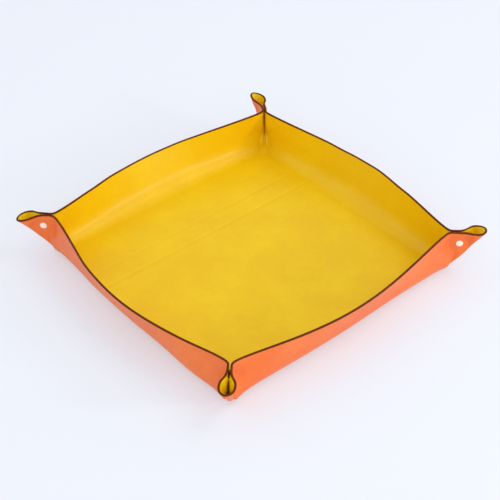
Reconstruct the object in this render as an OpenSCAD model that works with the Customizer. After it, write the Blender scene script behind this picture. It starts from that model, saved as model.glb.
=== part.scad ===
// Folding dice tray: a square two-layer leather sheet whose four corners are pinched
// outwards into ears and held by press snaps, so that its borders stand up as walls.
// Origin: centre of the base on the table. +Z is up, +Y is the back wall, +X the right one.
// The glue line between lining (inside) and shell (outside) is the surface that
// everything is offset from. One corner, back right, is described; the rest are turned.

/* [Tray] */
// Half the distance between two neighbouring pinches at the rim
pinch_half = 200; // [170:1:230]
// Height of the rim's glue line at a pinch
rim_height = 64; // [56:1:72]
// How far the middle of a wall bows out at the rim
wall_bow = 30; // [10:1:36]
// How far the rim dips at the middle of a wall
rim_dip = 4.5; // [0:0.5:8]
// How far the base line lies outside the pinch at the middle of a wall
base_spread = 5; // [2:0.5:8]
// Length of the bend from the flat floor to the base line
bend_leg = 22; // [17:1:28]
// Corner radius of the flat part of the floor
floor_corner = 14; // [8:1:20]

/* [Leather] */
// Thickness of the inner, yellow leather
lining_t = 1.2; // [0.8:0.1:1.6]
// Thickness of the outer, orange leather
shell_t = 1.2; // [0.8:0.1:1.6]
// Thickness of the sealed dark coat on the cut edge
edge_t = 0.4; // [0.2:0.1:0.8]
// Clear seam between two leather panels that fold against each other
seam = 0.4; // [0.3:0.1:0.6]

/* [Ears] */
// Length of an ear from the pinch to its tip, on the glue line
ear_length = 41.5; // [36:0.5:48]
// Half the width of the open loop, on the glue line
loop_half = 9.5; // [8:0.25:11]
// Radius of the turn from the wall into the ear
turn_r = 14; // [12:0.5:16]
// Length of the closed neck at the rim
neck_length = 6; // [4:0.5:8]
// Where the neck starts, outside the pinch
neck_start = -1; // [-1:0.1:0]
// Gap between the two linings at the rim of the neck
rim_gap = 1; // [0.6:0.1:2]
// Gap between the two linings around the snap
neck_gap = 3; // [3:0.1:3.6]
// Half the width of the blunt base corner under an ear
corner_half = 8; // [6:0.5:10]
// How far the base corner lies outside the pinch
corner_out = 1; // [0:0.5:2]
// How far the ridge under an ear starts inside the base corner
corner_in = 1; // [0:0.5:2]
// Height of the ridge's start over the base
corner_rise = 8; // [5:0.5:10]

/* [Snaps] */
// Distance of the snap outside the pinch
snap_out = 7; // [6.5:0.1:8]
// Depth of the snap's centre below the rim
snap_drop = 17; // [16:0.5:20]
// Radius of the cap
cap_r = 5; // [4.5:0.1:5.5]
// Height of the cap's dome
cap_dome = 1.5; // [1:0.1:2]
// Radius of the cap's post and of the rivet's barrel
post_r = 1.3; // [1:0.1:1.5]
// Radius of the socket
socket_r = 4.4; // [4:0.1:4.8]
// Radius of the stud's knob
knob_r = 2; // [1.8:0.1:2.4]
// Radial clearance of the knob in the socket
knob_clear = 0.1; // [0.05:0.01:0.2]
// Radius of the stud's flange
stud_r = 4.2; // [3.8:0.1:4.6]
// Radius of the rivet's head
rivet_r = 4; // [3.5:0.1:4.5]
// Height of the rivet's head
rivet_head = 0.8; // [0.6:0.1:1.2]
// Thickness of the socket's web and of the stud's flange
plate_t = 0.5; // [0.4:0.05:0.6]

/* [Hidden] */
WALLS = ["back", "left", "front", "right"];
CORNERS = ["back_right", "back_left", "front_left", "front_right"];
// the wall that each corner's first half belongs to, and the one of its second half
FIRST = ["back", "left", "front", "right"];
SECOND = ["right", "back", "left", "front"];
// true where the cap sits on the corner's first half
CAP_FIRST = [true, true, false, false];
LAYERS = ["lining", "shell", "edge"];
SNAP = ["cap", "socket", "stud", "rivet"];

$fn = 48;
bow_power = 1.45;            // shape of the bow along a wall
flare_power = 4;             // how late the base line turns out to the corner
bend_share = 0.5;            // share of the sheet's height parameter that the bend takes
split = 0.25;                // where the floor panel ends and a wall panel begins
wall_rows = [split, 0.375, 0.5, 0.75, 1];
ear_rows = [split, 0.375, 0.5, 0.69, 0.87, 1];
wall_steps = 5;              // columns on half a wall
// columns of half an ear: turn, neck and loop, with none in the tight fold under the neck's end
ear_columns = [1, 1.5, 2, 2.6, 3.2, 3.4, 3.6, 3.8, 4];
press_ring = 8;              // width of the ring around the cap that the snap presses flat
pull_width = 11;             // width over which its pull fades beyond that ring
snap_seat = 0.02;            // clearance of the cap and the rivet's head on the shell
hole_clear = 0.1;            // clearance of a post in the punched hole
nudge = 0.0005;              // parameter step for the tangents
LOOP_PEAK = 0.7016;          // largest value of sin(w) * sin(w/2)^1.5

along = [1, 1] / sqrt(2);    // out of the corner, in plan
across = [-1, 1] / sqrt(2);  // towards the corner's first half
neck_b = neck_gap / 2 + lining_t;
rim_b = rim_gap / 2 + lining_t;
dent_flat = cap_r + press_ring;
dent_reach = dent_flat + pull_width;
vertex = pinch_half + base_spread;
floor_half = vertex - bend_leg;
neck_end = neck_start + neck_length;
turn_a = neck_start - turn_r * tan(22.5);
wall_end_y = pinch_half + (turn_a + rim_b) / sqrt(2);
wall_end_x = pinch_half + (turn_a - rim_b) / sqrt(2) - turn_r * tan(22.5);
snap_z = rim_height - snap_drop;

function smooth(x) = let (c = min(max(x, 0), 1)) c * c * (3 - 2 * c);
function unit(v) = v / norm(v);
function plan(a, b) = [pinch_half, pinch_half] + a * along + b * across;
function lift(p, z) = [p[0], p[1], z];

// base, corner and rim point of a wall's section; s is 0 at mid wall and 1 at its end
function wall_section(s) =
    let (bow = pow(max(1 - s * s, 0), bow_power), corner = plan(corner_out, corner_half))
    [[s * (floor_half - floor_corner), floor_half, shell_t],
     [s * corner[0], vertex + (corner[1] - vertex) * pow(s, flare_power), shell_t],
     [s * wall_end_x, wall_end_y + wall_bow * bow, rim_height - rim_dip * bow]];

// plan of half an ear's rim; t runs 0..1 on the turn, 1..2 on the neck, 2..3 on the loop
function ear_rim(t) =
    t <= 1 ? [neck_start, rim_b + turn_r] + turn_r * [cos(45 * t - 135), sin(45 * t - 135)]
    : t <= 2 ? [neck_start + neck_length * (t - 1), rim_b]
    : let (w = 180 * (t - 2))
      [neck_end + (ear_length - neck_end) * (1 - cos(w)) / 2,
       rim_b * pow(cos(w / 2), 2) + loop_half / LOOP_PEAK * sin(w) * pow(sin(w / 2), 1.5)];

// the same three points of half an ear; the base corner is blunt and rises to the ridge
function ear_section(t) =
    let (rim = ear_rim(t), turn = 15 * t, centre = floor_half - floor_corner,
         inward = corner_in * sin(2 * turn), rise = corner_rise * pow(sin(2 * turn), 2))
    [lift([centre, centre] + floor_corner * [sin(turn), cos(turn)], shell_t),
     lift(plan(corner_out - inward, corner_half * cos(2 * turn)), shell_t + rise),
     lift(plan(rim[0], rim[1]), rim_height)];

// a flat leg, a bend around the corner point, then a straight wall up to the rim
function section_point(q, v) =
    let (reach = norm(q[2] - q[1]), leg = min(norm(q[1] - q[0]), 0.75 * reach),
         bend_end = q[1] + leg * (q[2] - q[1]) / reach, t = v / bend_share)
    v <= bend_share ? (1 - t) * (1 - t) * q[0] + 2 * t * (1 - t) * q[1] + t * t * bend_end
    : bend_end + (q[2] - bend_end) * (v - bend_share) / (1 - bend_share);

// the snap presses both halves of an ear to the neck's width around itself
function pressed(p) =
    let (d = [p[0] - pinch_half, p[1] - pinch_half], a = d * along, b = d * across,
         r = norm([a - snap_out, p[2] - snap_z]),
         w = 1 - smooth((r - dent_flat) / (dent_reach - dent_flat)))
    lift(plan(a, b + (neck_b - b) * w), p[2]);

// the glue line; s runs 0..1 along half a wall, then 1..4 around half an ear
function glue(s, v) = pressed(section_point(s <= 1 ? wall_section(s) : ear_section(s - 1), v));

// a point off the glue line: off along the outer normal, ds and dv along the sheet
function leather(s, v, off, ds = 0, dv = 0) =
    let (s0 = max(s - nudge, 0), s1 = min(s + nudge, 4),
         v0 = max(v - nudge, 0), v1 = min(v + nudge, 1),
         ts = unit(glue(s1, v) - glue(s0, v)), tv = unit(glue(s, v1) - glue(s, v0)),
         n = v == 0 ? [0, 0, -1] : unit(cross(tv, ts)))
    glue(s, v) + off * n + ds * ts + dv * tv;

function mirrored_x(p) = [-p[0], p[1], p[2]];
function swapped(p) = [p[1], p[0], p[2]];
function turned(p, k) = k == 0 ? p : turned([p[1], -p[0], p[2]], k - 1);

half_wall_columns = [for (i = [0:wall_steps - 1]) i / wall_steps];

// closed solid between two grids of points; grid[i][j] has i along and j up the sheet
module slab(outer, inner, ring = false) {
    n = len(outer);
    m = len(outer[0]);
    columns = ring ? n : n - 1;
    base = n * m;
    function a(i, j) = (i % n) * m + j;
    function b(i, j) = base + a(i, j);
    points = concat([for (c = outer) each c], [for (c = inner) each c],
                    ring ? [lift([0, 0], outer[0][0][2]), lift([0, 0], inner[0][0][2])] : []);
    // a quad is split along its shorter diagonal, so that faces across a seam match
    function quad(p, q, r, s) = norm(points[p] - points[r]) <= norm(points[q] - points[s])
        ? [[p, q, r], [p, r, s]] : [[p, q, s], [q, r, s]];
    skins = [for (i = [0:columns - 1], j = [0:m - 2]) each concat(
        quad(a(i, j), a(i + 1, j), a(i + 1, j + 1), a(i, j + 1)),
        quad(b(i, j), b(i, j + 1), b(i + 1, j + 1), b(i + 1, j)))];
    top = [for (i = [0:columns - 1]) each
        quad(a(i, m - 1), a(i + 1, m - 1), b(i + 1, m - 1), b(i, m - 1))];
    bottom = [for (i = [0:columns - 1]) each quad(a(i + 1, 0), a(i, 0), b(i, 0), b(i + 1, 0))];
    ends = [for (j = [0:m - 2]) each concat(
        quad(a(0, j), a(0, j + 1), b(0, j + 1), b(0, j)),
        quad(a(n - 1, j + 1), a(n - 1, j), b(n - 1, j), b(n - 1, j + 1)))];
    // a ring is closed by two fans about the middle of its first row
    caps = [for (i = [0:columns - 1]) each
        [[2 * base, a(i + 1, 0), a(i, 0)], [2 * base + 1, b(i, 0), b(i + 1, 0)]]];
    polyhedron(
        points = points,
        faces = ring ? concat(skins, top, caps) : concat(skins, top, bottom, ends),
        convexity = 6);
}

// one skin of the back wall at a given offset
function wall_grid(off) =
    let (steps = concat([for (i = [wall_steps:-1:1]) -i / wall_steps], half_wall_columns, [1]))
    [for (u = steps) [for (v = wall_rows)
        let (p = leather(abs(u), v, off, abs(u) == 1 ? -seam / 2 : 0, v == split ? seam / 2 : 0))
        u < 0 ? mirrored_x(p) : p]];

// one skin of the first half of the back right ear
function ear_grid(off) =
    [for (s = ear_columns) [for (v = ear_rows)
        leather(s, v, off, s == 1 ? seam / 2 : s == 4 ? -seam / 2 : 0, v == split ? seam / 2 : 0)]];

function floor_grid(off) =
    let (quarter = concat([for (s = concat(half_wall_columns, ear_columns)) [s, false]],
                          [for (s = concat(half_wall_columns, ear_columns)) if (s > 0 && s < 4) [s, true]]),
         n = len(quarter), half = (n + 2) / 2,
         order = concat([for (i = [0:half - 1]) quarter[i]], [for (i = [n - 1:-1:half]) quarter[i]]))
    [for (k = [0:3], q = order) [for (v = [0, split / 2, split])
        let (p = leather(q[0], v, off, 0, v == split ? -seam / 2 : 0))
        turned(q[1] ? swapped(p) : p, k)]];

// rim strip that lies on both leathers' cut edges
module edge_strip(outer, glue_line, inner) {
    top = len(outer[0]) - 1;
    function across_rim(lift_by) = [for (i = [0:len(outer) - 1]) [for (g = [outer, glue_line, inner])
        g[i][top] + lift_by * unit(g[i][top] - g[i][top - 1])]];
    slab(across_rim(edge_t), across_rim(0));
}

module panel(layer, outer, glue_line, inner) {
    if (layer == "lining") color("#F2C42E") slab(glue_line, inner);
    if (layer == "shell") color("#ED7742") slab(outer, glue_line);
    if (layer == "edge") color("#4E2E17") edge_strip(outer, glue_line, inner);
}

module floor_panel(layer) {
    if (layer == "lining") color("#F2C42E") slab(floor_grid(0), floor_grid(-lining_t), true);
    if (layer == "shell") color("#ED7742") slab(floor_grid(shell_t), floor_grid(0), true);
}

module wall_panel(layer) {
    panel(layer, wall_grid(shell_t), wall_grid(0), wall_grid(-lining_t));
}

// first half of the back right ear, punched for its post
module ear_half(layer) {
    difference() {
        panel(layer, ear_grid(shell_t), ear_grid(0), ear_grid(-lining_t));
        if (layer != "edge") at_snap() translate([0, 0, -neck_b])
            cylinder(r = post_r + hole_clear, h = 4 * neck_b);
    }
}

// snap axis: local +Z points out of the ear's first half, local 0 is between the halves
module at_snap() {
    centre = plan(snap_out, 0);
    translate([centre[0], centre[1], snap_z]) rotate([-90, 0, 45]) children();
}

inner_face = neck_gap / 2;
outer_face = neck_b + shell_t + snap_seat;

module snap_cap() {
    color("#FFF3E0") rotate_extrude() {
        dome_r = (cap_r * cap_r + cap_dome * cap_dome) / (2 * cap_dome);
        intersection() {
            translate([0, outer_face + cap_dome - dome_r]) circle(r = dome_r, $fn = 96);
            translate([0, outer_face]) square([cap_r, cap_dome + 1]);
        }
        translate([0, inner_face - plate_t]) square([post_r, outer_face + 0.1 - inner_face + plate_t]);
    }
}

module snap_socket() {
    web = inner_face - plate_t;
    color("#C9C6BF") rotate_extrude() {
        translate([post_r, web]) square([socket_r - post_r, plate_t]);
        translate([knob_r + knob_clear, -inner_face + 2 * plate_t])
            square([socket_r - knob_r - knob_clear, web + inner_face - 2 * plate_t + 0.01]);
    }
}

module snap_stud() {
    color("#C9C6BF") rotate_extrude() {
        translate([post_r, -inner_face]) square([stud_r - post_r, plate_t]);
        translate([post_r, -inner_face]) square([knob_r - post_r, 2 * (inner_face - plate_t)]);
    }
}

module snap_rivet() {
    color("#D8D4CC") rotate_extrude() {
        translate([0, -outer_face - rivet_head]) square([rivet_r, rivet_head]);
        translate([0, -outer_face - 0.1]) square([post_r, outer_face + 0.1 - plate_t]);
    }
}

module snap_piece(name) {
    if (name == "cap") snap_cap();
    if (name == "socket") snap_socket();
    if (name == "stud") snap_stud();
    if (name == "rivet") snap_rivet();
}

floor_panel("lining");  // floor_lining
floor_panel("shell");  // floor_shell
for (k = [0:3], layer = LAYERS) {
    rotate([0, 0, 90 * k]) wall_panel(layer);
    rotate([0, 0, 90 * k]) ear_half(layer);
    rotate([0, 0, 90 * k]) mirror([1, -1, 0]) ear_half(layer);
}
for (k = [0:3], piece = SNAP)
    rotate([0, 0, 90 * k]) at_snap() mirror([0, 0, CAP_FIRST[k] ? 0 : 1]) snap_piece(piece);
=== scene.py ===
"""Folding dice tray: the look of every leather panel, edge coat and press snap, in one studio scene."""

from __future__ import annotations

import logging
import math
from dataclasses import dataclass, field
from enum import Enum

import bpy
import numpy as np
from mathutils import Matrix, Vector

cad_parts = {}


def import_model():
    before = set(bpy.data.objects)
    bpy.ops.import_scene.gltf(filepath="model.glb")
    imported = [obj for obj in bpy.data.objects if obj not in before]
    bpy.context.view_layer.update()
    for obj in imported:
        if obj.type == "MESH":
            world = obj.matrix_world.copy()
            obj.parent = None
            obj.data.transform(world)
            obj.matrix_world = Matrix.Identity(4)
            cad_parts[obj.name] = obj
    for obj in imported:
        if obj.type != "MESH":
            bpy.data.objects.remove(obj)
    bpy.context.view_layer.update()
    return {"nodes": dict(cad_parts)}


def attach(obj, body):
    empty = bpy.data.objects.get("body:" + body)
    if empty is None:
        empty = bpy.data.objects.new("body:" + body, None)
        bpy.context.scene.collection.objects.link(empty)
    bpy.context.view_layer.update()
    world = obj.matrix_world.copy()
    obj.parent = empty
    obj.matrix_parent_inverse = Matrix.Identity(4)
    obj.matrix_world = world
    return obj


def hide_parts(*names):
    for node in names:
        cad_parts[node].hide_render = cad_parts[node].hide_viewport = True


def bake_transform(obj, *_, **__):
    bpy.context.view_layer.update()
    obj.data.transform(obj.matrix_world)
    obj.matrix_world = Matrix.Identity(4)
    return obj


Array = np.ndarray
LOG = logging.getLogger("dice_tray")
MM = 0.001
MM_PER_M = 1000
TINY = 1e-12  # shortest length that a vector is divided by
ROOT2 = math.sqrt(2.0)
ALONG = np.array([1.0, 1.0, 0.0]) / ROOT2  # out of the corner, in plan
ACROSS = np.array([-1.0, 1.0, 0.0]) / ROOT2  # towards the corner's first half
UP = np.array([0.0, 0.0, 1.0])
RIDGE = 4.0  # the value of s at an ear's ridge
EAR_TURN = 45.0  # degrees from a wall to its ear's neck, in plan


# ---------------------------------------------------------------- the tray's parts by name


class Side(Enum):
    """A wall of the tray, with the quarter turns that bring the back wall to it."""

    BACK = 0
    LEFT = 1
    FRONT = 2
    RIGHT = 3

    @property
    def label(self) -> str:
        """The wall's name in the CAD nodes."""
        return self.name.lower()

    @property
    def body(self) -> str:
        """The wall's body in the frame."""
        return f"{self.label}_wall"


class Corner(Enum):
    """A corner of the tray, with the quarter turns that bring the back right corner to it."""

    BACK_RIGHT = 0
    BACK_LEFT = 1
    FRONT_LEFT = 2
    FRONT_RIGHT = 3

    @property
    def label(self) -> str:
        """The corner's name in the CAD nodes."""
        return self.name.lower()

    @property
    def cap_on_first(self) -> bool:
        """True where the snap's cap sits on the first half."""
        return self in (Corner.BACK_RIGHT, Corner.BACK_LEFT)

    def half(self, first: bool) -> Side:
        """The wall that one half of the corner's ear belongs to."""
        return Side((self.value - (0 if first else 1)) % len(Side))

    def half_body(self, first: bool) -> str:
        """The body of one half of the corner's ear."""
        return f"{self.label}_ear_{self.half(first).label}_half"


class Layer(Enum):
    """One of the two leathers that are glued back to back."""

    LINING = "lining"
    SHELL = "shell"


# ---------------------------------------------------------------- the glue surface


@dataclass(frozen=True)
class TrayForm:
    """The surface between the two leathers, in millimetres, with the same sizes as the CAD source.

    A point has two parameters. s runs 0..1 from a wall's middle to its end, then 1..4 around half an
    ear (turn, neck, loop). v runs 0..1 from the flat base up to the rim. The ear halves start at v = split.
    Around the cap, press_ring and pull_width say how far the halves are pressed together and how softly
    that ends. Powers and shares have no unit.
    """

    pinch_half: float = 200.0
    rim_height: float = 64.0
    wall_bow: float = 30.0
    rim_dip: float = 4.5
    base_spread: float = 5.0
    bend_leg: float = 22.0
    floor_corner: float = 14.0
    lining_t: float = 1.2
    shell_t: float = 1.2
    ear_length: float = 41.5
    loop_half: float = 9.5
    turn_r: float = 14.0
    neck_length: float = 6.0
    neck_start: float = -1.0
    rim_gap: float = 1.0
    neck_gap: float = 3.0
    corner_half: float = 8.0
    corner_out: float = 1.0
    corner_in: float = 1.0
    corner_rise: float = 8.0
    snap_out: float = 7.0
    snap_drop: float = 17.0
    cap_r: float = 5.0
    bow_power: float = 1.45
    flare_power: float = 4.0
    loop_power: float = 1.5
    press_ring: float = 8.0
    pull_width: float = 11.0
    ridge_ease: float = 0.35
    bend_share: float = 0.5
    longest_leg: float = 0.75
    split: float = 0.25
    loop_peak: float = 0.7016
    nudge: float = 0.0005

    @property
    def neck_b(self) -> float:
        """Distance of the glue surface from the corner's middle plane around the snap."""
        return self.neck_gap / 2 + self.lining_t

    @property
    def rim_b(self) -> float:
        """The same distance at the rim of the neck, where the linings nearly meet."""
        return self.rim_gap / 2 + self.lining_t

    @property
    def vertex(self) -> float:
        """Half the distance between the bend lines of opposite walls."""
        return self.pinch_half + self.base_spread

    @property
    def floor_half(self) -> float:
        """Half the width of the flat part of the base."""
        return self.vertex - self.bend_leg

    @property
    def neck_end(self) -> float:
        """Where the neck opens into the loop."""
        return self.neck_start + self.neck_length

    @property
    def wall_end(self) -> tuple[float, float]:
        """Rim of the wall's end: along the wall and out of it."""
        tangent = self.turn_r * math.tan(math.radians(EAR_TURN / 2))
        turn_a = self.neck_start - tangent
        out = self.pinch_half + (turn_a + self.rim_b) / ROOT2
        side = self.pinch_half + (turn_a - self.rim_b) / ROOT2 - tangent
        return side, out

    @property
    def snap_z(self) -> float:
        """Height of the snap's axis."""
        return self.rim_height - self.snap_drop

    @property
    def wall_fold(self) -> tuple[Array, Array]:
        """Where a wall starts to leave the floor, and where it has left it."""
        done = self.glue(np.array([1.0]), np.array([self.split]))[0]
        return np.array([0.0, self.floor_half, self.shell_t]), done * [0.0, 1.0, 1.0]

    @property
    def ear_fold(self) -> tuple[Array, Array]:
        """Where an ear's first half starts to leave its wall, and where it has left it, beside the cap."""
        rim = np.array([*self.wall_end, self.rim_height])
        foot = self.plan(np.array(self.corner_out), np.array(self.corner_half), np.array(self.shell_t))
        snap = self.plan(np.array(self.snap_out), np.array(self.neck_b), np.array(self.snap_z))
        line = unit(foot - rim)
        start = rim + line * np.dot(snap - rim, line)
        return start, snap - unit(snap - start) * self.cap_r

    @property
    def pinch(self) -> Array:
        """The back right pinch, on the table."""
        return np.array([self.pinch_half, self.pinch_half, 0.0])

    def plan(self, a: Array, b: Array, z: Array) -> Array:
        """Point at a out of the corner, b across it and height z."""
        place = self.pinch + np.multiply.outer(a, ALONG) + np.multiply.outer(b, ACROSS)
        return place + np.multiply.outer(z, UP)

    def from_pinch(self, p: Array) -> tuple[Array, Array]:
        """How far points lie out of the corner and across it."""
        away = p - self.pinch
        return away @ ALONG, away @ ACROSS

    def glue(self, s: Array, v: Array) -> Array:
        """Points of the glue surface in the back right corner.

        Args:
            s: places along the sheet, from the back wall's middle to the ridge.
            v: places up the sheet, an array of the same shape.

        Returns:
            The points, in millimetres.
        """
        on_wall = (np.asarray(s) <= 1.0)[..., None]
        wall = self._wall_section(np.minimum(s, 1.0))
        ear = self._ear_section(np.clip(s, 1.0, RIDGE) - 1.0)
        sections = [np.where(on_wall, w, e) for w, e in zip(wall, ear)]
        return self._pressed(self._section_point(*sections, np.asarray(v)), s)

    def _wall_section(self, s: Array) -> tuple[Array, Array, Array]:
        """Base, corner and rim point of a wall's section."""
        bow = np.clip(1.0 - s * s, 0.0, None) ** self.bow_power
        flat = np.full_like(s, self.shell_t)
        side, out = self.wall_end
        corner = self.plan(np.array(self.corner_out), np.array(self.corner_half), np.array(0.0))
        straight = self.floor_half - self.floor_corner
        base = np.stack([s * straight, np.full_like(s, self.floor_half), flat], -1)
        flare = self.vertex + (corner[1] - self.vertex) * s**self.flare_power
        bend = np.stack([s * corner[0], flare, flat], -1)
        rim = np.stack([s * side, out + self.wall_bow * bow, self.rim_height - self.rim_dip * bow], -1)
        return base, bend, rim

    def _ear_rim(self, t: Array) -> tuple[Array, Array]:
        """Plan of half an ear's rim: t runs 0..1 on the turn, 1..2 on the neck, 2..3 on the loop."""
        turn = np.radians(EAR_TURN * t - 3 * EAR_TURN)
        w = math.pi * np.clip(t - 2.0, 0.0, 1.0)
        spread = self.loop_half / self.loop_peak * np.sin(w) * np.sin(w / 2) ** self.loop_power
        loop_a = self.neck_end + (self.ear_length - self.neck_end) * (1 - np.cos(w)) / 2
        loop_b = self.rim_b * np.cos(w / 2) ** 2 + spread
        turn_a = self.neck_start + self.turn_r * np.cos(turn)
        turn_b = self.rim_b + self.turn_r * (1 + np.sin(turn))
        neck_a = self.neck_start + self.neck_length * (t - 1)
        a = np.where(t <= 1, turn_a, np.where(t <= 2, neck_a, loop_a))
        b = np.where(t <= 1, turn_b, np.where(t <= 2, self.rim_b, loop_b))
        return a, b

    def _ear_section(self, t: Array) -> tuple[Array, Array, Array]:
        """Base, corner and rim point of an ear's section; the corner is blunt and rises to the ridge."""
        turn = np.radians(EAR_TURN / 3 * t)
        centre = self.floor_half - self.floor_corner
        flat = np.full_like(t, self.shell_t)
        arc = [centre + self.floor_corner * way(turn) for way in (np.sin, np.cos)]
        base = np.stack([*arc, flat], -1)
        around = 2.0 * turn
        inward = self.corner_in * np.sin(around)
        rise = self.corner_rise * np.sin(around) ** 2
        bend = self.plan(self.corner_out - inward, self.corner_half * np.cos(around), flat + rise)
        return base, bend, self.plan(*self._ear_rim(t), np.full_like(t, self.rim_height))

    def _section_point(self, base: Array, bend: Array, rim: Array, v: Array) -> Array:
        """Points of sections: a flat leg, a bend around the corner point, then straight up to the rim.

        Args:
            base: where each section leaves the flat base.
            bend: the corner point that its bend goes around.
            rim: where it ends.
            v: the share of the way up, 0..1.

        Returns:
            One point for each section.
        """
        rise = rim - bend
        reach = np.linalg.norm(rise, axis=-1, keepdims=True)
        leg = np.minimum(np.linalg.norm(bend - base, axis=-1, keepdims=True), self.longest_leg * reach)
        bend_end = bend + leg * rise / reach
        t = (v / self.bend_share)[..., None]
        curved = (1 - t) ** 2 * base + 2 * t * (1 - t) * bend + t * t * bend_end
        straight = bend_end + (rim - bend_end) * ((v - self.bend_share) / (1 - self.bend_share))[..., None]
        return np.where(t <= 1.0, curved, straight)

    def _pressed(self, p: Array, s: Array) -> Array:
        """The points, with both halves of an ear pressed around the snap but joined along the ridge."""
        a, b = self.from_pinch(p)
        r = np.hypot(a - self.snap_out, p[..., 2] - self.snap_z)
        ring = 1.0 - smooth((r - self.cap_r - self.press_ring) / self.pull_width)
        pull = ring * smooth((RIDGE - s) / self.ridge_ease)
        return p + np.multiply.outer((self.neck_b - b) * pull, ACROSS)


def smooth(x: Array) -> Array:
    """Smoothstep of x between 0 and 1."""
    c = np.clip(x, 0.0, 1.0)
    return c * c * (3 - 2 * c)


def quarter_turns(p: Array, turns: int) -> Array:
    """Points turned about the tray's upright axis by a number of quarter turns."""
    for _ in range(turns % 4):
        p = np.stack([-p[..., 1], p[..., 0], p[..., 2]], -1)
    return p


# ---------------------------------------------------------------- panels of the surface


@dataclass(frozen=True)
class Ripple:
    """A soft upright wave of a wall: its place along it (-1..1), its width and how far it stands out."""

    place: float
    width: float
    out: float


@dataclass(frozen=True)
class Push:
    """A soft shift of the real leather around a place, in the tray's frame and in millimetres."""

    place: tuple[float, float, float]
    reach: float
    shift: tuple[float, float, float]


PUSHES = (
    Push((200.0, 200.0, 64.0), 70.0, (1.0, 1.0, 2.4)),  # the back right pinch stands a little high
    Push((-205.0, -135.0, 6.0), 50.0, (-6.0, 0.0, 0.0)),  # the left wall bulges at its foot
    Push((90.0, -205.0, 6.0), 80.0, (0.0, 3.0, 0.0)),  # the front wall is drawn in at its foot
    Push((-202.0, -202.0, 6.0), 28.0, (-4.0, -4.0, 0.0)),  # the front left foot is pointed
    # and all four feet sag a little towards the table
    *(Push((196.0 * x, 196.0 * y, 8.0), 12.0, (1.5 * x, 1.5 * y, -3.0)) for x in (-1, 1) for y in (-1, 1)),
)


@dataclass(frozen=True)
class Window:
    """A soft window in millimetres: it opens from its start and closes towards its end."""

    start: float
    opens: float
    end: float
    closes: float

    def at(self, x: Array) -> Array:
        """How far the window is open at x, 0..1."""
        return smooth((x - self.start) / self.opens) * smooth((self.end - x) / self.closes)


# Where the lining that a snap squeezes swells, and how far it stays from the corner's middle plane.
SWELL_BEFORE_SNAP = Window(-4.5, 2.3, 2.7, 1.7)
SWELL_BEHIND_SNAP = Window(11.4, 1.2, 18.0, 3.0)
SWELL_CLEARANCE = 0.12
RIPPLE_RISE = 0.6  # share of a wall's height over which its waves grow to their full depth


def pushed(form: TrayForm, p: Array) -> Array:
    """Points with every push added: not at all on the floor, in full from half a bend's leg outwards."""
    moved = p.astype(float)
    beyond = np.abs(p[..., :2]).max(-1) - form.floor_half
    free = smooth(beyond / (form.bend_leg / 2))
    for push in PUSHES:
        near = free * np.exp(-np.sum((p - np.array(push.place)) ** 2, -1) / push.reach**2)
        moved = moved + np.multiply.outer(near, np.array(push.shift))
    return moved


@dataclass(frozen=True)
class Patch:
    """A panel of the glue surface in its place on the tray, with the waves the real leather has."""

    form: TrayForm
    turns: int = 0

    def point(self, s: Array, v: Array) -> Array:
        """Points of the panel, in millimetres."""
        raise NotImplementedError

    def facing(self) -> float:
        """1 where s runs so that the shell's side is on the left of it, and -1 where it is mirrored."""
        return 1.0

    def swell(self, s: Array, v: Array) -> Array:
        """Extra thickness of the lining."""
        return np.zeros_like(s + v)

    def frame(self, s: Array, v: Array) -> tuple[Array, Array, Array]:
        """Points, unit normals on the shell's side, and unit vectors up the sheet."""
        h = self.form.nudge
        s, v = np.broadcast_arrays(np.asarray(s, float), np.asarray(v, float))
        along = self.point(s + h, v) - self.point(s - h, v)
        rise = self.point(s, np.minimum(v + h, 1.0)) - self.point(s, np.maximum(v - h, 0.0))
        normal = np.cross(rise, along) * self.facing()
        return self.point(s, v), unit(normal), unit(rise)


def unit(v: Array) -> Array:
    """Vectors at length one."""
    return v / np.maximum(np.linalg.norm(v, axis=-1, keepdims=True), TINY)


@dataclass(frozen=True)
class WallPatch(Patch):
    """A whole wall: s runs -1..1 along it."""

    ripples: tuple[Ripple, ...] = ()
    extra_bow: float = 0.0

    def point(self, s: Array, v: Array) -> Array:
        """Points of the wall, in millimetres."""
        p = self.form.glue(np.abs(s), v)
        p = p * np.stack([np.where(s < 0, -1.0, 1.0), np.ones_like(s), np.ones_like(s)], -1)
        held = np.clip(1 - s * s, 0, None) ** 2
        out = self.extra_bow * held
        for r in self.ripples:
            out = out + r.out * np.exp(-(((s - r.place) / r.width) ** 2)) * held
        out = out * smooth(v / RIPPLE_RISE)
        p = p + np.multiply.outer(out, np.array([0.0, 1.0, 0.0]))
        return pushed(self.form, quarter_turns(p, self.turns))


@dataclass(frozen=True)
class Twist:
    """How a real ear's loop leaves the straight line, in millimetres at its tip.

    yaw turns it towards the first half, lift raises it, grow lengthens it and sway bows its middle towards
    the first half. back is how far before the neck's end it sets in.
    """

    yaw: float = 0.0
    lift: float = 0.0
    grow: float = 0.0
    sway: float = 0.0
    back: float = 0.0


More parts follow.
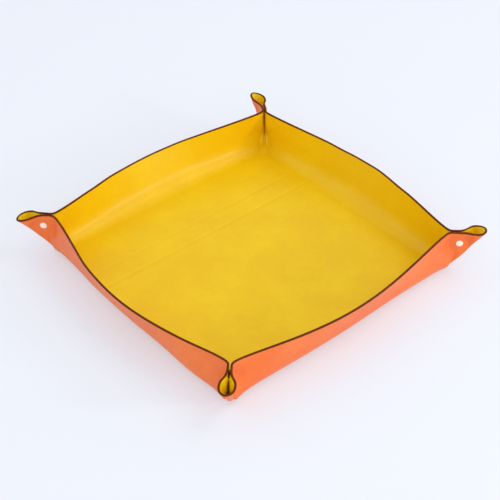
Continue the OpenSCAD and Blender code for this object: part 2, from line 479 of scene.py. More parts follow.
@dataclass(frozen=True)
class EarPatch(Patch):
    """Half an ear: s runs 1..4 from the wall's end to the ridge."""

    first: bool = True
    twist: Twist = Twist()

    def point(self, s: Array, v: Array) -> Array:
        """Points of the ear half, in millimetres."""
        form = self.form
        p = form.glue(np.minimum(s, RIDGE), v)
        if not self.first:
            p = p[..., [1, 0, 2]]
        a, _ = form.from_pinch(p)
        start = form.neck_end - self.twist.back
        share = np.clip((a - start) / (form.ear_length - start), 0, None)
        far = share**2
        middle = np.sin(math.pi * np.minimum(share, 1.0)) ** 2
        p = p + np.multiply.outer(self.twist.yaw * far + self.twist.sway * middle, ACROSS)
        p = p + np.multiply.outer(self.twist.lift * far, UP) + np.multiply.outer(self.twist.grow * far, ALONG)
        return pushed(form, quarter_turns(p, self.turns))

    def swell(self, s: Array, v: Array) -> Array:
        """How much the squeezed lining swells on both sides of the snap, so that it hides the metal there."""
        form = self.form
        p = form.glue(np.minimum(s, RIDGE), v)
        a, b = form.from_pinch(p)
        beside = SWELL_BEFORE_SNAP.at(a) + SWELL_BEHIND_SNAP.at(a)
        upwards = Window(start=14.0, opens=16.0, end=form.rim_height - 1.0, closes=6.0)
        room = np.clip(b - form.lining_t - SWELL_CLEARANCE, 0.0, None)
        return beside * upwards.at(p[..., 2]) * room

    def facing(self) -> float:
        """-1 for the second half, which is a mirror image."""
        return 1.0 if self.first else -1.0


# ---------------------------------------------------------------- mesh helpers


def linked(name: str, data: bpy.types.ID) -> bpy.types.Object:
    """A new object of that name, linked to the scene, with its mesh, light or camera."""
    thing = bpy.data.objects.new(name, data)
    bpy.context.collection.objects.link(thing)
    return thing


@dataclass
class Surface:
    """Grids of points and normals for the two faces of a sheet, i along it and j up it."""

    outer: Array
    inner: Array
    normal: Array
    flip: bool = False


class MeshBuilder:
    """Collects a piece's quads and triangles with their own corner normals, then makes the object."""

    def __init__(self, name: str) -> None:
        """Starts an empty mesh of that name."""
        self.name = name
        self.points: list[Array] = []
        self.faces: list[tuple[int, ...]] = []
        self.normals: list[Array] = []
        self.count = 0

    def _add_points(self, p: Array) -> int:
        """Adds points and returns the index of the first."""
        start = self.count
        self.points.append(p.reshape(-1, 3))
        self.count += p.reshape(-1, 3).shape[0]
        return start

    def add_skin(self, p: Array, n: Array, ring: bool, back: bool) -> None:
        """Adds one face of a sheet.

        Args:
            p: grid of points, along the sheet and up it.
            n: the normal at each point.
            ring: True where the last column joins the first.
            back: True to turn the quads over.
        """
        start = self._add_points(p)
        count, rows = p.shape[:2]
        index = start + np.arange(count * rows).reshape(count, rows)
        flat_n = n.reshape(-1, 3)
        after = np.roll(index, -1, 0) if ring else index[1:]
        here = index if ring else index[:-1]
        quads = np.stack([here[:, :-1], here[:, 1:], after[:, 1:], after[:, :-1]], -1).reshape(-1, 4)
        if back:
            quads = quads[:, ::-1]
        self.faces.extend(map(tuple, quads.tolist()))
        self.normals.append(flat_n[quads - start].reshape(-1, 3))

    def _strip(self, a: Array, b: Array, out: Array) -> None:
        """A strip of quads between two rows of points, facing along out."""
        start = self._add_points(np.concatenate([a, b]))
        n = len(a)
        face_n = unit(np.cross(b[:-1] - a[:-1], a[1:] - a[:-1]))
        swap = float(np.sum(face_n * out[:-1])) < 0
        for i in range(n - 1):
            quad = (start + i, start + n + i, start + n + i + 1, start + i + 1)
            self.faces.append(quad[::-1] if swap else quad)
            self.normals.append(np.repeat(-face_n[i : i + 1] if swap else face_n[i : i + 1], 4, 0))

    def add_sheet(self, sheet: Surface) -> MeshBuilder:
        """Adds a closed sheet: both faces and the four narrow sides between them.

        Args:
            sheet: the two faces of the sheet and the normals on the outer one.

        Returns:
            This builder.
        """
        self.add_skin(sheet.outer, sheet.normal, False, sheet.flip)
        self.add_skin(sheet.inner, -sheet.normal, False, not sheet.flip)
        rise = sheet.outer[:, -1] - sheet.outer[:, -2]
        for row, out in ((-1, rise), (0, -rise)):
            self._strip(sheet.outer[:, row], sheet.inner[:, row], out)
        for column, step in ((0, -1), (-1, 1)):
            side = sheet.outer[column] - sheet.outer[column - step]
            self._strip(sheet.outer[column], sheet.inner[column], side)
        return self

    def add_fan(self, ring_points: Array, hub: Array, normal: Array) -> MeshBuilder:
        """Closes a ring of points with triangles.

        Args:
            ring_points: the ring, in order.
            hub: the point that the triangles meet in.
            normal: the way they face.

        Returns:
            This builder.
        """
        start = self._add_points(np.concatenate([ring_points, hub[None]]))
        n = len(ring_points)
        turn = np.cross(ring_points[0] - hub, ring_points[1] - hub) @ normal
        for i in range(n):
            face = (start + i, start + (i + 1) % n, start + n)
            self.faces.append(face if turn > 0 else face[::-1])
            self.normals.append(np.repeat(normal[None], 3, 0))
        return self

    def make(self) -> bpy.types.Object:
        """The finished object, in metres, linked to the scene."""
        mesh = bpy.data.meshes.new(self.name)
        mesh.from_pydata((np.concatenate(self.points) * MM).tolist(), [], self.faces)
        mesh.polygons.foreach_set("use_smooth", [True] * len(mesh.polygons))
        mesh.normals_split_custom_set(np.concatenate(self.normals).tolist())
        mesh.update()
        return linked(self.name, mesh)


def lathe(name: str, profile: list[tuple[float, float]], steps: int, place: Matrix) -> bpy.types.Object:
    """A turned piece.

    Args:
        name: the object's name.
        profile: (radius, height) pairs in millimetres, from the axis on top round to the axis below.
        steps: number of columns round the axis.
        place: matrix from the piece's axis frame to the tray's, in metres.

    Returns:
        The smooth-shaded object.
    """
    points = [(0.0, 0.0, profile[0][1] * MM)]
    for r, z in profile[1:-1]:
        for i in range(steps):
            w = 2 * math.pi * i / steps
            points.append((r * MM * math.cos(w), r * MM * math.sin(w), z * MM))
    points.append((0.0, 0.0, profile[-1][1] * MM))
    rings = len(profile) - 2
    last = len(points) - 1
    faces: list[tuple[int, ...]] = []
    for i in range(steps):
        k = (i + 1) % steps
        faces.append((0, 1 + i, 1 + k))
        for r in range(rings - 1):
            a, b = 1 + r * steps, 1 + (r + 1) * steps
            faces.append((a + i, b + i, b + k, a + k))
        a = 1 + (rings - 1) * steps
        faces.append((a + i, last, a + k))
    mesh = bpy.data.meshes.new(name)
    mesh.from_pydata(points, [], faces)
    mesh.polygons.foreach_set("use_smooth", [True] * len(mesh.polygons))
    mesh.transform(place)
    mesh.update()
    return linked(name, mesh)


# ---------------------------------------------------------------- materials


def srgb(code: str) -> tuple[float, float, float, float]:
    """Linear colour of an sRGB hex code such as #F2C42E."""
    parts = [int(code[i : i + 2], 16) / 255 for i in (1, 3, 5)]
    linear = [c / 12.92 if c <= 0.04045 else ((c + 0.055) / 1.055) ** 2.4 for c in parts]
    return linear[0], linear[1], linear[2], 1.0


MIX_FIRST = 6  # the colour inputs of a Mix node
MIX_SECOND = 7


class Graph:
    """A material's node tree, with one call that adds a node, sets it and links its inputs."""

    def __init__(self, name: str) -> None:
        """Makes an empty node material of that name."""
        self.material = bpy.data.materials.new(name)
        self.material.use_nodes = True
        self.tree = self.material.node_tree
        self.tree.nodes.clear()

    def add(self, kind: str, inputs: dict | None = None, **settings) -> bpy.types.Node:
        """Adds a node.

        Args:
            kind: the node's class name without ShaderNode.
            inputs: socket name or number to a value, or to the output socket that feeds it.
            settings: attributes set on the node.

        Returns:
            The node.
        """
        node = self.tree.nodes.new("ShaderNode" + kind)
        for key, value in settings.items():
            setattr(node, key, value)
        for key, value in (inputs or {}).items():
            if isinstance(value, bpy.types.NodeSocket):
                self.tree.links.new(value, node.inputs[key])
            else:
                node.inputs[key].default_value = value
        return node

    def bump(
        self,
        height: bpy.types.NodeSocket,
        strength: float,
        depth_mm: float,
        over: bpy.types.Node | None = None,
    ) -> bpy.types.Node:
        """Adds a bump.

        Args:
            height: the socket that gives its shape.
            strength: how much of it shows.
            depth_mm: its depth.
            over: another bump that it lies on.

        Returns:
            The node.
        """
        inputs = {"Height": height, "Strength": strength, "Distance": depth_mm * MM}
        if over:
            inputs["Normal"] = over.outputs[0]
        return self.add("Bump", inputs)

    def tint(self, share: bpy.types.NodeSocket, colour: str, other: str) -> bpy.types.NodeSocket:
        """Adds a mix of two sRGB colours and returns the mixed colour's socket."""
        inputs = {"Factor": share, MIX_FIRST: srgb(colour), MIX_SECOND: srgb(other)}
        return self.add("Mix", inputs, data_type="RGBA").outputs["Result"]

    def shader(self, inputs: dict, bump: bpy.types.Node) -> bpy.types.Node:
        """Adds the main shader, with its inputs by name and a bump."""
        return self.add("BsdfPrincipled", {**inputs, "Normal": bump.outputs[0]})

    def finish(self, shader: bpy.types.Node) -> bpy.types.Material:
        """Links the shader to the output and returns the material."""
        self.add("OutputMaterial", {"Surface": shader.outputs[0]})
        return self.material


@dataclass(frozen=True)
class LeatherFinish:
    """Smooth dyed leather: full colour, a soft top-coat gloss and a fine pebbled grain."""

    name: str
    colour: str
    shade: str
    roughness: float = 0.5
    reflect: float = 0.28
    grain_mm: float = 1.1
    pore_mm: float = 0.35
    mottle_grains: float = 6.0
    cloud_mm: float = 70.0
    grain_depth_mm: float = 0.05
    pore_depth_share: float = 0.4
    folds: tuple[tuple[float, float], ...] = ()
    fold_reach_mm: float = 4.5

    def make(self) -> bpy.types.Material:
        """Builds the material."""
        g = Graph(self.name)
        place = g.add("TexCoord").outputs["Object"]
        clouds = {"Scale": MM_PER_M / self.cloud_mm, "Detail": 3.0, "Roughness": 0.6}
        cloud = g.add("TexNoise", {"Vector": place, **clouds})
        pebbles = {"Scale": MM_PER_M / self.grain_mm, "Smoothness": 0.7}
        grain = g.add("TexVoronoi", {"Vector": place, **pebbles}, feature="SMOOTH_F1")
        pores = g.add("TexNoise", {"Vector": place, "Scale": MM_PER_M / self.pore_mm, "Detail": 2.0})
        mottle_scale = MM_PER_M / (self.mottle_grains * self.grain_mm)
        mottle = g.add("TexNoise", {"Vector": place, "Scale": mottle_scale, "Detail": 2.0}).outputs["Fac"]
        blotch = g.add("MapRange", {"Value": cloud.outputs["Fac"], "From Min": 0.35, "From Max": 0.65})
        fleck = g.add("MapRange", {"Value": mottle, "From Min": 0.3, "From Max": 0.7, "To Max": 0.35})
        mix = g.add("Math", {0: blotch.outputs[0], 1: fleck.outputs[0]}, operation="ADD", use_clamp=True)
        tint = g.tint(mix.outputs[0], self.colour, self.shade)
        dull, shiny = self.roughness + 0.05, self.roughness - 0.04
        gloss = g.add(
            "MapRange", {"Value": mottle, "From Min": 0.3, "From Max": 0.7, "To Min": shiny, "To Max": dull}
        )
        fine = g.bump(pores.outputs["Fac"], 0.35, self.pore_depth_share * self.grain_depth_mm)
        bump = g.bump(grain.outputs["Distance"], 0.6, self.grain_depth_mm, fine)
        bump = self._press_folds(g, place, bump)
        looks = {"Base Color": tint, "Roughness": gloss.outputs[0], "Specular IOR Level": self.reflect}
        return g.finish(g.shader(looks, bump))

    def _press_folds(self, g: Graph, place: bpy.types.NodeSocket, bump: bpy.types.Node) -> bpy.types.Node:
        """Adds the faint fold lines that the folded tray leaves across its floor, each at its y and depth."""
        split = g.add("SeparateXYZ", {0: place})
        for fold, depth_mm in self.folds:
            off = g.add("Math", {0: split.outputs["Y"], 1: fold * MM}, operation="SUBTRACT")
            far = g.add("Math", {0: off.outputs[0]}, operation="ABSOLUTE")
            reach = {"From Max": self.fold_reach_mm * MM, "To Min": 0.0, "To Max": 1.0}
            line = g.add("MapRange", {"Value": far.outputs[0], **reach}, interpolation_type="SMOOTHSTEP")
            bump = g.bump(line.outputs[0], 1.0, depth_mm, bump)
        return bump


@dataclass(frozen=True)
class EdgeCoatFinish:
    """Brushed-on edge paint: dark, even and satin, so the rim draws a crisp line with a thin light on it."""

    name: str = "edge_paint_satin"
    colour: str = "#632C06"
    worn: str = "#7E4312"
    roughness: float = 0.45
    reflect: float = 0.08

    def make(self) -> bpy.types.Material:
        """Builds the material."""
        g = Graph(self.name)
        place = g.add("TexCoord").outputs["Object"]
        streak = g.add("TexNoise", {"Vector": place, "Scale": 240.0, "Detail": 3.0})
        wear = g.add("MapRange", {"Value": streak.outputs["Fac"], "From Min": 0.5, "From Max": 0.8})
        tint = g.tint(wear.outputs[0], self.colour, self.worn)
        bump = g.bump(streak.outputs["Fac"], 0.4, 0.08)
        looks = {"Base Color": tint, "Roughness": self.roughness, "Specular IOR Level": self.reflect}
        return g.finish(g.shader(looks, bump))


@dataclass(frozen=True)
class EnamelFinish:
    """Cream enamel baked on a pressed cap: a bright milky colour under a clear, glossy coat."""

    name: str = "snap_cap_enamel"
    colour: str = "#FFF3DF"
    roughness: float = 0.3

    def make(self) -> bpy.types.Material:
        """Builds the material."""
        g = Graph(self.name)
        place = g.add("TexCoord").outputs["Object"]
        orange_peel = g.add("TexNoise", {"Vector": place, "Scale": 900.0, "Detail": 1.0})
        bump = g.bump(orange_peel.outputs["Fac"], 0.2, 0.02)
        coat = {"Coat Weight": 0.6, "Coat Roughness": 0.08}
        looks = {"Base Color": srgb(self.colour), "Roughness": self.roughness, **coat}
        return g.finish(g.shader(looks, bump))


@dataclass(frozen=True)
class NickelFinish:
    """Nickel-plated pressed steel: a warm grey mirror with fine turning marks."""

    name: str = "snap_nickel_plate"
    colour: str = "#D6D0C4"
    roughness: float = 0.28

    def make(self) -> bpy.types.Material:
        """Builds the material."""
        g = Graph(self.name)
        place = g.add("TexCoord").outputs["Object"]
        marks = g.add("TexNoise", {"Vector": place, "Scale": 2200.0, "Detail": 2.0})
        gloss = g.add(
            "MapRange",
            {"Value": marks.outputs["Fac"], "To Min": self.roughness - 0.06, "To Max": self.roughness + 0.1},
        )
        bump = g.bump(marks.outputs["Fac"], 0.25, 0.01)
        looks = {"Base Color": srgb(self.colour), "Metallic": 1.0, "Roughness": gloss.outputs[0]}
        return g.finish(g.shader(looks, bump))


FLOOR_FOLDS = ((80.0, 0.42), (113.0, 0.2))  # y and depth of each line pressed by folding, in millimetres


@dataclass(frozen=True)
class Finishes:
    """Every material of the tray, made once."""

    leather: dict[Layer, bpy.types.Material]
    edge: bpy.types.Material
    enamel: bpy.types.Material
    nickel: bpy.types.Material

    @classmethod
    def make(cls) -> Finishes:
        """Makes all the materials."""
        lining = LeatherFinish(
            "lining_dyed_calf", "#F5CC08", "#F0C204", roughness=0.38, reflect=0.26, folds=FLOOR_FOLDS
        )
        shell = LeatherFinish("shell_dyed_calf", "#F57F3A", "#F0722E", roughness=0.42, reflect=0.34)
        return cls(
            {Layer.LINING: lining.make(), Layer.SHELL: shell.make()},
            EdgeCoatFinish().make(),
            EnamelFinish().make(),
            NickelFinish().make(),
        )


SLOTS = {Layer.LINING: "lining_leather", Layer.SHELL: "shell_leather"}


def wear(thing: bpy.types.Object, material: bpy.types.Material, slot: str) -> None:
    """Gives a piece its one material."""
    thing.data.materials.clear()
    thing.data.materials.append(material)


# ---------------------------------------------------------------- sheets of leather and their rims


@dataclass(frozen=True)
class SheetSize:
    """Flat size of a panel before it is bent, in metres."""

    width: float
    length: float
    area: float

    @classmethod
    def of(cls, p: Array) -> SheetSize:
        """Measures a grid of points.

        Args:
            p: the points in millimetres, along the sheet and up it.

        Returns:
            The longest row and column, and the area.
        """
        along = np.linalg.norm(np.diff(p, axis=0), axis=-1).sum(0).max() * MM
        rise = np.linalg.norm(np.diff(p, axis=1), axis=-1).sum(1).max() * MM
        near, b, c, far = p[:-1, :-1], p[1:, :-1], p[:-1, 1:], p[1:, 1:]
        triangles = [np.linalg.norm(np.cross(b - end, c - end), axis=-1) for end in (near, far)]
        area = (triangles[0] + triangles[1]).sum() / 2
        return cls(float(along), float(rise), float(area * MM * MM))


def layer_surface(form: TrayForm, patch: Patch, layer: Layer, s: Array, v: Array) -> Surface:
    """The two faces of one leather.

    Args:
        form: the tray's sizes.
        patch: the panel that the leather covers.
        layer: which of the two leathers it is.
        s: the grid's places along the panel.
        v: its places up the panel.

    Returns:
        The leather's surface.
    """
    grid_s, grid_v = np.meshgrid(s, v, indexing="ij")
    p, n, _ = patch.frame(grid_s, grid_v)
    if layer is Layer.LINING:
        thick = form.lining_t + patch.swell(grid_s, grid_v)
        return Surface(p, p - thick[..., None] * n, n, patch.facing() < 0)
    return Surface(p + form.shell_t * n, p, n, patch.facing() < 0)


@dataclass(frozen=True)
class RimProfile:
    """Section of the edge coat, in millimetres: a rounded bead a little wider than the two leathers.

    Its skirt reaches down both sides, drawn in by the tuck. Normals point away from the heart, which lies
    that share of the skirt below the leathers' edge.
    """

    proud: float = 0.28
    crown: float = 1.0
    skirt: float = 0.9
    tuck: float = 0.06
    heart: float = 0.2
    steps: int = 9

    def section(self, form: TrayForm) -> Array:
        """(off, up) pairs from the shell's side over the top to the lining's side."""
        half = form.shell_t + self.proud
        w = np.linspace(0, math.pi, self.steps)
        arch = np.stack([half * np.cos(w), self.crown * np.sin(w)], -1)
        foot = half - self.tuck
        return np.concatenate([[[foot, -self.skirt]], arch, [[-foot, -self.skirt]]])

    def build(self, name: str, form: TrayForm, patch: Patch, s: Array) -> bpy.types.Object:
        """Sweeps the section along the rim of a panel.

        Args:
            name: the object's name.
            form: the tray's sizes.
            patch: the panel.
            s: the rim's places along the panel.

        Returns:
            The edge coat.
        """
        p, n, up = patch.frame(s, np.ones_like(s))
        section = self.section(form)
        rows = p[:, None] + section[None, :, :1] * n[:, None] + section[None, :, 1:] * up[:, None]
        ring = np.concatenate([rows, rows[:, :1]], 1)
        centre = p[:, None] - self.heart * self.skirt * up[:, None]
        builder = MeshBuilder(name)
        builder.add_skin(ring, unit(ring - centre), False, patch.facing() < 0)
        for end in (0, -1):
            side = unit(p[end] - p[end + (1 if end == 0 else -1)])
            builder.add_fan(rows[end], centre[end, 0], side)
        return builder.make()


# ---------------------------------------------------------------- sub-assemblies


@dataclass
class Floor:
    """The flat middle of both leathers."""

    form: TrayForm
    pieces: dict[Layer, bpy.types.Object] = field(default_factory=dict)
    area: float = 0.0
    wall_steps: int = 40
    ear_steps: int = 30
    ring_steps: int = 20
    hub_share: float = 0.04

    def build(self) -> Floor:
        """Makes the discs of both leathers."""
        along = np.linspace(1, -1, 2 * self.wall_steps + 1)
        there = np.linspace(1, RIDGE, self.ear_steps + 1)[1:]
        back = np.linspace(RIDGE, 1, self.ear_steps + 1)[1:-1]
        ring = []
        for side in Side:
            corner = (side.value + 1) % len(Corner)
            ring.append((WallPatch(self.form, side.value), along))
            ring.append((EarPatch(self.form, corner, first=False), there))
            ring.append((EarPatch(self.form, corner, first=True), back))
        edge = np.concatenate([patch.point(s, np.zeros_like(s)) for patch, s in ring])
        for layer in Layer:
            self.pieces[layer] = self._layer(layer, edge)
        x, y = edge[:, 0], edge[:, 1]
        self.area = abs(np.sum(x * np.roll(y, 1) - y * np.roll(x, 1))) / 2 * MM * MM
        return self

    def _layer(self, layer: Layer, edge: Array) -> bpy.types.Object:
        """One leather of the floor."""
        builder = MeshBuilder(f"floor_{layer.value}_leather")
        shares = np.linspace(self.hub_share, 1.0, self.ring_steps)
        disc = edge[:, None] * np.array([1.0, 1.0, 0.0]) * shares[None, :, None] + UP * self.form.shell_t
        down = np.broadcast_to(-UP, disc.shape)
        top, low = (0.0, self.form.shell_t) if layer is Layer.SHELL else (-self.form.lining_t, 0.0)
        outer, inner = disc - UP * low, disc - UP * top
        builder.add_skin(outer, down, True, True)
        builder.add_skin(inner, -down, True, False)
        for points, normal in ((outer, -UP), (inner, UP)):
            builder.add_fan(points[:, 0], points[:, 0].mean(0), normal)
        return builder.make()

    def dress(self, finishes: Finishes) -> None:
        for layer, piece in self.pieces.items():
            wear(piece, finishes.leather[layer], SLOTS[layer])
            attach(piece, "floor")
            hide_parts(f"floor_{layer.value}")


@dataclass
class FoldedPanel:
    """A panel that folds: its two leathers, their flat size and the coat on their rim."""

    form: TrayForm
    pieces: dict[Layer, bpy.types.Object] = field(default_factory=dict, init=False)
    size: SheetSize | None = field(default=None, init=False)
    rim: bpy.types.Object | None = field(default=None, init=False)

    def _dress_leathers(self, finishes: Finishes, parent: str, body: str, fold: list[tuple]) -> None:
        """Gives both leathers their material, bakes their transforms and hides their CAD leathers.

        Args:
            finishes: the tray's materials.
            parent: not used.
            body: the panel's own body.
            fold: not used.
        """
        for layer, piece in self.pieces.items():
            wear(piece, finishes.leather[layer], SLOTS[layer])
            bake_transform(piece)
            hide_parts(f"{body}_{layer.value}")


@dataclass
class Wall(FoldedPanel):
    """One wall: leathers bent up from the floor, with the feet of its two ear halves, and its edge coat."""

    side: Side
    ripples: tuple[Ripple, ...] = ()
    extra_bow: float = 0.0
    steps: int = 130
    rows: int = 36
    foot_steps: int = 30
    foot_rows: int = 8

    def build(self) -> Wall:
        """Makes both leathers and the edge coat."""
        patch = WallPatch(self.form, self.side.value, self.ripples, self.extra_bow)
        s = np.linspace(-1, 1, self.steps + 1)
        v = np.linspace(0, 1, self.rows + 1)
        foot_s = np.linspace(1, RIDGE, self.foot_steps + 1)
        foot_v = np.linspace(0, self.form.split, self.foot_rows)
        feet = [
            EarPatch(self.form, corner.value, first)
            for corner in Corner
            for first in (True, False)
            if corner.half(first) is self.side
        ]
        for layer in Layer:
            surface = layer_surface(self.form, patch, layer, s, v)
            builder = MeshBuilder(f"{self.side.body}_{layer.value}_leather").add_sheet(surface)
            for foot in feet:
                builder.add_sheet(layer_surface(self.form, foot, layer, foot_s, foot_v))
            self.pieces[layer] = builder.make()
            self.size = SheetSize.of(surface.outer)
        self.rim = RimProfile().build(f"{self.side.body}_edge_coat", self.form, patch, s)
        return self

    def dress(self, finishes: Finishes) -> None:
        """Gives the leathers their material, and lets the rim ride on the wall."""
        fold = [tuple(quarter_turns(p, self.side.value) * MM) for p in self.form.wall_fold]
        self._dress_leathers(finishes, "floor", self.side.body, fold)
        wear(self.rim, finishes.edge, "edge_coat")
        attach(self.rim, self.side.body)
        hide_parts(f"{self.side.body}_edge")


@dataclass
class EarHalf(FoldedPanel):
    """Half of a corner's ear: two leathers that turn out of the wall, and the coat on their rim."""

    corner: Corner
    first: bool
    twist: Twist = Twist()
    steps: int = 60
    rows: int = 30

    @property
    def body(self) -> str:
        """The half's body in the frame."""
        return self.corner.half_body(self.first)

    @property
    def wall(self) -> Side:
        """The wall that the half belongs to."""
        return self.corner.half(self.first)

    def build(self) -> EarHalf:
        """Makes both leathers and the edge coat."""
        patch = EarPatch(self.form, self.corner.value, self.first, self.twist)
        s = np.linspace(1, RIDGE, self.steps + 1)
        v = np.linspace(self.form.split, 1, self.rows + 1)
        for layer in Layer:
            surface = layer_surface(self.form, patch, layer, s, v)
            builder = MeshBuilder(f"{self.body}_{layer.value}_leather")
            self.pieces[layer] = builder.add_sheet(surface).make()
            self.size = SheetSize.of(surface.outer)
        self.rim = RimProfile().build(f"{self.body}_edge_coat", self.form, patch, s)
        return self

    def dress(self, finishes: Finishes) -> None:
        """Gives the leathers and the edge coat their material and bakes their transforms."""
        order = [0, 1, 2] if self.first else [1, 0, 2]
        fold = [tuple(quarter_turns(p[order], self.corner.value) * MM) for p in self.form.ear_fold]
        self._dress_leathers(finishes, self.wall.body, self.body, fold)
        wear(self.rim, finishes.edge, "edge_coat")
        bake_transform(self.rim, self.wall.body, self.body, start=fold[0], end=fold[1])
        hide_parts(f"{self.body}_edge")


# Profiles of the snap's turned pieces in millimetres, as radius and height above the leather. The cap's
# roll has its distance from the cap's edge in place of the radius.
CAP_DOME = ((0.0, 1.5), (0.9, 1.49), (1.8, 1.42), (2.7, 1.27), (3.5, 1.05), (4.2, 0.78), (4.65, 0.56))
CAP_ROLL = ((0.1, 0.38), (0.0, 0.22), (0.03, 0.08), (0.15, 0.0), (0.6, 0.0))
RIVET_HEAD = ((0.0, 0.62), (1.2, 0.62), (1.5, 0.7), (2.0, 0.8), (2.6, 0.8), (3.2, 0.72), (3.7, 0.5))
RIVET_ROLL = ((4.0, 0.2), (3.95, 0.03), (3.8, 0.0))
POST = ((1.3, 0.0), (1.3, -3.2), (0.0, -3.2))


@dataclass
class PressSnap:
    """A corner's press snap: enamelled cap and riveted back, with the CAD socket and stud between them."""

    form: TrayForm
    corner: Corner
    cap: bpy.types.Object | None = None
    rivet: bpy.types.Object | None = None
    columns: int = 64
    seat: float = 0.02

    def _place(self, outward: float) -> Matrix:
        """Matrix of the snap's axis: +Z out of the first half, or out of the second where outward is -1."""
        form = self.form
        centre = form.plan(np.array(form.snap_out), np.array(0.0), np.array(form.snap_z))
        axis = Vector(quarter_turns(ACROSS, self.corner.value)) * outward
        turn = axis.to_track_quat("Z", "Y").to_matrix().to_4x4()
        return Matrix.Translation(Vector(pushed(form, quarter_turns(centre, self.corner.value))) * MM) @ turn

    def build(self) -> PressSnap:
        """Makes the cap with its rolled rim, and the rivet with its ringed head."""
        face = self.form.neck_b + self.form.shell_t + self.seat
        out = 1.0 if self.corner.cap_on_first else -1.0
        roll = tuple((self.form.cap_r - inset, z) for inset, z in CAP_ROLL)
        profile = [(r, face + z) for r, z in CAP_DOME + roll + POST]
        self.cap = lathe(f"{self.corner.label}_cap_enamelled", profile, self.columns, self._place(out))
        profile = [(r, face + z) for r, z in RIVET_HEAD + RIVET_ROLL + POST]
        self.rivet = lathe(f"{self.corner.label}_rivet_ringed", profile, self.columns, self._place(-out))
        return self

    def dress(self, finishes: Finishes, nodes: dict[str, bpy.types.Object]) -> None:
        """Puts the cap and rivet on their ear halves and plates the socket and stud."""
        cap_on_first = self.corner.cap_on_first
        wear(self.cap, finishes.enamel, "snap_cap")
        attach(self.cap, self.corner.half_body(cap_on_first))
        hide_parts(f"{self.corner.label}_snap_cap")
        wear(self.rivet, finishes.nickel, "snap_metal")
        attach(self.rivet, self.corner.half_body(not cap_on_first))
        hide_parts(f"{self.corner.label}_snap_rivet")
        for part in ("socket", "stud"):
            node = nodes[f"{self.corner.label}_snap_{part}"]
            for material_slot in node.material_slots:
                material_slot.material = finishes.nickel


@dataclass(frozen=True)
class Softbox:
    """A round area lamp that is aimed at the tray, in metres and watts."""

    name: str
    place: tuple[float, float, float]
    size: float
    power: float

    def build(self) -> None:
        """Puts the lamp in the scene."""
        light = bpy.data.lights.new(self.name, "AREA")
        light.shape = "DISK"
        light.size = self.size
        light.energy = self.power
        thing = linked(self.name, light)
        thing.location = self.place
        thing.rotation_euler = Vector(self.place).to_track_quat("Z", "Y").to_euler()


SOFTBOXES = (
    Softbox("key_softbox", (1.55, -0.95, 2.5), 1.8, 13.0),
    Softbox("low_window", (1.18, -1.96, 0.72), 0.34, 11.0),
    Softbox("front_fill", (-1.5, -1.9, 1.0), 2.0, 9.0),
    Softbox("back_glow", (-1.2, 1.6, 1.75), 1.0, 2.0),
)


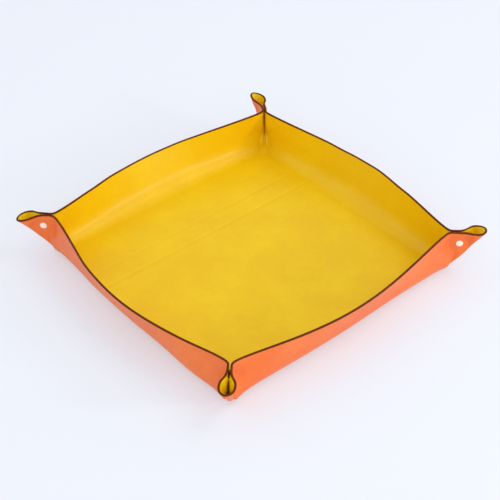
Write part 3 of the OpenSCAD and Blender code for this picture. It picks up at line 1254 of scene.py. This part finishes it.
@dataclass(frozen=True)
class Studio:
    """Pale floor, a soft sky and the softboxes, with the photograph's camera."""

    floor_reach: float = 6.0
    floor_colour: str = "#F1F5FC"
    floor_glow: float = 0.42
    sky_colour: str = "#F4F6FC"
    sky_strength: float = 0.86
    lens_mm: float = 91.5
    sensor_mm: float = 36.0
    azimuth: float = -39.77169
    elevation: float = 39.32617
    roll: float = -0.78820
    distance_mm: float = 1711.4
    clip_m: float = 50.0
    aim_mm: tuple[float, float, float] = (-37.33, -45.61, 64.0)

    def build(self) -> None:
        """Makes the floor, the world, the light and the camera."""
        self._floor()
        self._world()
        for lamp in SOFTBOXES:
            lamp.build()
        self._camera()

    def _floor(self) -> None:
        """A wide paper floor; part of it glows for the camera and in reflections, so shadows stay light."""
        reach = self.floor_reach
        corners = [(x * reach, y * reach, 0) for x, y in ((-1, -1), (1, -1), (1, 1), (-1, 1))]
        mesh = bpy.data.meshes.new("studio_floor")
        mesh.from_pydata(corners, [], [(0, 1, 2, 3)])
        thing = linked("studio_floor", mesh)
        g = Graph("studio_paper")
        place = g.add("TexCoord").outputs["Object"]
        fibre = g.add("TexNoise", {"Vector": place, "Scale": 900.0, "Detail": 2.0})
        bump = g.bump(fibre.outputs["Fac"], 0.1, 0.02)
        looks = {"Base Color": srgb(self.floor_colour), "Roughness": 0.9, "Specular IOR Level": 0.1}
        shader = g.shader(looks, bump)
        seen = g.add("LightPath").outputs
        direct = g.add("Math", {0: seen["Is Camera Ray"], 1: seen["Is Glossy Ray"]}, operation="ADD")
        share = g.add(
            "Math", {0: direct.outputs[0], 1: seen["Is Transmission Ray"]}, operation="ADD", use_clamp=True
        )
        glow = g.add("Math", {0: share.outputs[0], 1: self.floor_glow}, operation="MULTIPLY")
        light = g.add("Emission", {"Color": srgb(self.floor_colour), "Strength": 1.0})
        mixed = g.add("MixShader", {0: glow.outputs[0], 1: shader.outputs[0], 2: light.outputs[0]})
        thing.data.materials.append(g.finish(mixed))

    def _world(self) -> None:
        """An even, slightly cool sky."""
        world = bpy.data.worlds.new("studio_sky")
        bpy.context.scene.world = world
        world.use_nodes = True
        sky = world.node_tree.nodes["Background"]
        sky.inputs["Color"].default_value = srgb(self.sky_colour)
        sky.inputs["Strength"].default_value = self.sky_strength

    def _camera(self) -> None:
        """The photograph's camera: it looks from the front left, down on the tray."""
        az, el, roll = (math.radians(x) for x in (self.azimuth, self.elevation, self.roll))
        back = Vector((math.sin(az) * math.cos(el), -math.cos(az) * math.cos(el), math.sin(el)))
        level = Vector((math.cos(az), math.sin(az), 0.0))
        raised = back.cross(level)
        right = math.cos(roll) * level + math.sin(roll) * raised
        top = -math.sin(roll) * level + math.cos(roll) * raised
        data = bpy.data.cameras.new("photo_camera")
        data.lens = self.lens_mm
        data.sensor_width = self.sensor_mm
        data.clip_end = self.clip_m
        camera = linked("photo_camera", data)
        turn = Matrix((right, top, back)).transposed().to_4x4()
        camera.matrix_world = Matrix.Translation((Vector(self.aim_mm) + back * self.distance_mm) * MM) @ turn
        bpy.context.scene.camera = camera
        bpy.context.scene.view_settings.view_transform = "Standard"


# ---------------------------------------------------------------- the whole tray

WALL_RIPPLES = {
    Side.BACK: ((Ripple(-0.62, 0.07, -1.2), Ripple(-0.42, 0.09, 0.9), Ripple(0.3, 0.1, 0.5)), 0.8),
    Side.LEFT: ((Ripple(0.45, 0.16, 1.6),), 2.0),
    Side.FRONT: ((), -4.5),
    Side.RIGHT: ((Ripple(-0.26, 0.1, -1.2), Ripple(0.13, 0.1, 1.2), Ripple(0.4, 0.1, -1.2)), 0.0),
}
EAR_TWISTS = {
    Corner.BACK_RIGHT: Twist(yaw=19.0, lift=3.0, grow=1.0, sway=3.0, back=8.0),
    Corner.BACK_LEFT: Twist(yaw=6.5, lift=-4.0, grow=1.0),
    Corner.FRONT_LEFT: Twist(yaw=-1.5, lift=-7.0),
    Corner.FRONT_RIGHT: Twist(yaw=1.5, lift=4.0, sway=3.0),
}


def main() -> None:
    """Builds and dresses the tray, piece by piece, then the studio around it."""
    logging.basicConfig(level=logging.INFO, format="%(message)s")
    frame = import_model()
    form = TrayForm()
    finishes = Finishes.make()

    Floor(form).build().dress(finishes)
    LOG.info("floor built")
    for side in Side:
        ripples, extra_bow = WALL_RIPPLES[side]
        Wall(form, side, ripples, extra_bow).build().dress(finishes)
        LOG.info("%s wall built", side.label)
    for corner in Corner:
        for first in (True, False):
            EarHalf(form, corner, first, EAR_TWISTS[corner]).build().dress(finishes)
        PressSnap(form, corner).build().dress(finishes, frame["nodes"])
        LOG.info("%s ear and snap built", corner.label)
    Studio().build()

    bpy.context.view_layer.update()
    LOG.info("scene ready")


if __name__ == "__main__":
    main()
